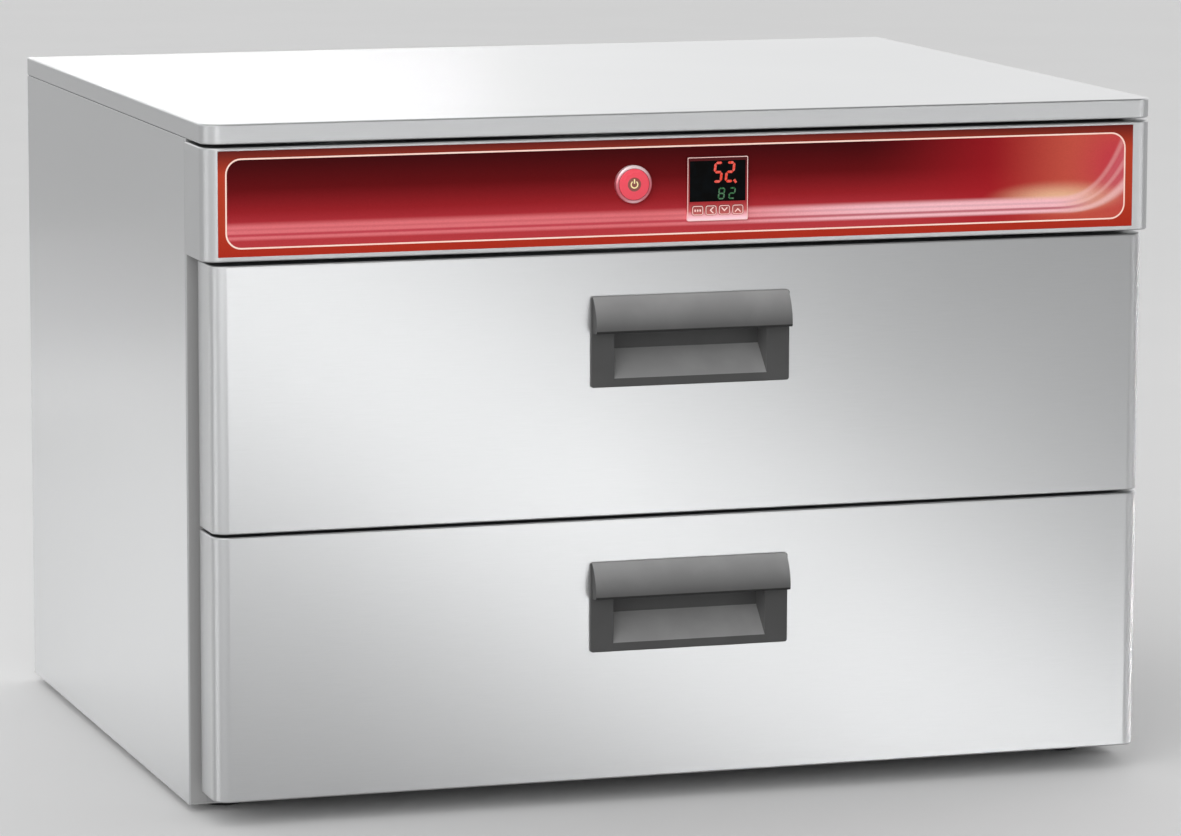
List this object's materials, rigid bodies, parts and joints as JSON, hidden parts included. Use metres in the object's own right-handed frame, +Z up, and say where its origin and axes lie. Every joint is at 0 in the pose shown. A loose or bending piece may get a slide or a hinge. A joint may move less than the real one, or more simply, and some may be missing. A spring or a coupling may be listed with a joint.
{
  "type": "heated holding drawer",
  "caption": "Free-standing stainless warming cabinet with stacked insulated heated drawers for food pans under a control fascia with a temperature controller and a lit power button.",
  "frame": {"origin": "on the floor, midway between the side walls and midway between the front of the handles and the back edge", "axes": "+X to the right as the user faces the drawers, -Y towards the user, +Z up"},
  "size_m": [0.75, 0.6126, 0.523],
  "materials": {
    "satin_steel": "satin brushed stainless sheet",
    "liner_steel": "mill finish stainless sheet, inside the cabinet",
    "pan_steel": "bright pressed stainless",
    "zinc_steel": "zinc plated steel",
    "screw_steel": "plain steel screws",
    "heater_sheath": "heat-darkened alloy tube",
    "printed_film": "red printed polyester film",
    "handle_plastic": "moulded dark grey plastic",
    "bezel_plastic": "dark red moulded bezel",
    "display_window": "black smoked window with lit digits",
    "key_plastic": "dark red key caps",
    "case_plastic": "black moulded housing",
    "button_plastic": "lit red button cap",
    "chrome_ring": "polished plated ring",
    "silicone_seal": "black silicone",
    "foot_rubber": "black rubber",
    "mineral_wool": "resin-bonded mineral wool slab",
    "probe_steel": "stainless sensor sheath",
    "thermostat_metal": "plain aluminium can"
  },
  "bodies": {
    "cabinet": {"back_insulation": "mineral_wool", "back_panel": "satin_steel", "base_panel": "liner_steel", "cabinet_screws": "screw_steel", "control_fascia": "satin_steel", "control_overlay": "printed_film", "control_shelf": "liner_steel", "controller_bezel": "bezel_plastic", "controller_case": "case_plastic", "controller_window": "display_window", "feet": "foot_rubber", "front_frame": "satin_steel", "heater_clips": "zinc_steel", "left_side_panel": "satin_steel", "level_insulation": "mineral_wool", "lower_cabinet_runners": "zinc_steel", "lower_cavity_liner": "liner_steel", "lower_heater": "heater_sheath", "power_inlet": "case_plastic", "power_switch_bezel": "chrome_ring", "power_switch_body": "case_plastic", "right_side_panel": "satin_steel", "safety_cutouts": "thermostat_metal", "side_insulation": "mineral_wool", "solid_state_relay": "case_plastic", "temperature_probes": "probe_steel", "terminal_block": "case_plastic", "top_panel": "satin_steel", "upper_cabinet_runners": "zinc_steel", "upper_cavity_liner": "liner_steel", "upper_heater": "heater_sheath", "wiring_loom": "case_plastic"},
    "upper_drawer": {"upper_drawer_front": "satin_steel", "upper_drawer_inner_panel": "liner_steel", "upper_drawer_insulation": "mineral_wool", "upper_drawer_gasket": "silicone_seal", "upper_handle": "handle_plastic", "upper_pan_support": "liner_steel", "upper_carrier_rails": "liner_steel", "upper_food_pan": "pan_steel", "upper_drawer_runners": "zinc_steel", "upper_drawer_screws": "screw_steel"},
    "upper_middle": {"upper_middle_runners": "zinc_steel"},
    "lower_drawer": {"lower_drawer_front": "satin_steel", "lower_drawer_inner_panel": "liner_steel", "lower_drawer_insulation": "mineral_wool", "lower_drawer_gasket": "silicone_seal", "lower_handle": "handle_plastic", "lower_pan_support": "liner_steel", "lower_carrier_rails": "liner_steel", "lower_food_pan": "pan_steel", "lower_drawer_runners": "zinc_steel", "lower_drawer_screws": "screw_steel"},
    "lower_middle": {"lower_middle_runners": "zinc_steel"},
    "power_button": {"power_button": "button_plastic"},
    "mode_key": {"mode_key": "key_plastic"},
    "shift_key": {"shift_key": "key_plastic"},
    "down_key": {"down_key": "key_plastic"},
    "up_key": {"up_key": "key_plastic"}
  },
  "joints": [
    {"name": "upper_drawer_slide", "type": "slide", "parent": "cabinet", "child": "upper_drawer", "axis": [0, -1, 0], "range_m": [0, 0.4]},
    {"name": "upper_middle_slide", "type": "slide", "parent": "cabinet", "child": "upper_middle", "axis": [0, -1, 0], "range_m": [0, 0.2]},
    {"name": "lower_drawer_slide", "type": "slide", "parent": "cabinet", "child": "lower_drawer", "axis": [0, -1, 0], "range_m": [0, 0.4]},
    {"name": "lower_middle_slide", "type": "slide", "parent": "cabinet", "child": "lower_middle", "axis": [0, -1, 0], "range_m": [0, 0.2]},
    {"name": "power_button_press", "type": "slide", "parent": "cabinet", "child": "power_button", "axis": [0, 1, 0], "range_m": [0, 0.0015], "stiffness_N_per_m": 800},
    {"name": "mode_key_press", "type": "slide", "parent": "cabinet", "child": "mode_key", "axis": [0, 1, 0], "range_m": [0, 0.0004], "stiffness_N_per_m": 1500},
    {"name": "shift_key_press", "type": "slide", "parent": "cabinet", "child": "shift_key", "axis": [0, 1, 0], "range_m": [0, 0.0004], "stiffness_N_per_m": 1500},
    {"name": "down_key_press", "type": "slide", "parent": "cabinet", "child": "down_key", "axis": [0, 1, 0], "range_m": [0, 0.0004], "stiffness_N_per_m": 1500},
    {"name": "up_key_press", "type": "slide", "parent": "cabinet", "child": "up_key", "axis": [0, 1, 0], "range_m": [0, 0.0004], "stiffness_N_per_m": 1500}
  ],
  "couplings": [
    {"joint": "upper_middle_slide", "follows": "upper_drawer_slide", "ratio": 0.5},
    {"joint": "lower_middle_slide", "follows": "lower_drawer_slide", "ratio": 0.5}
  ]
}
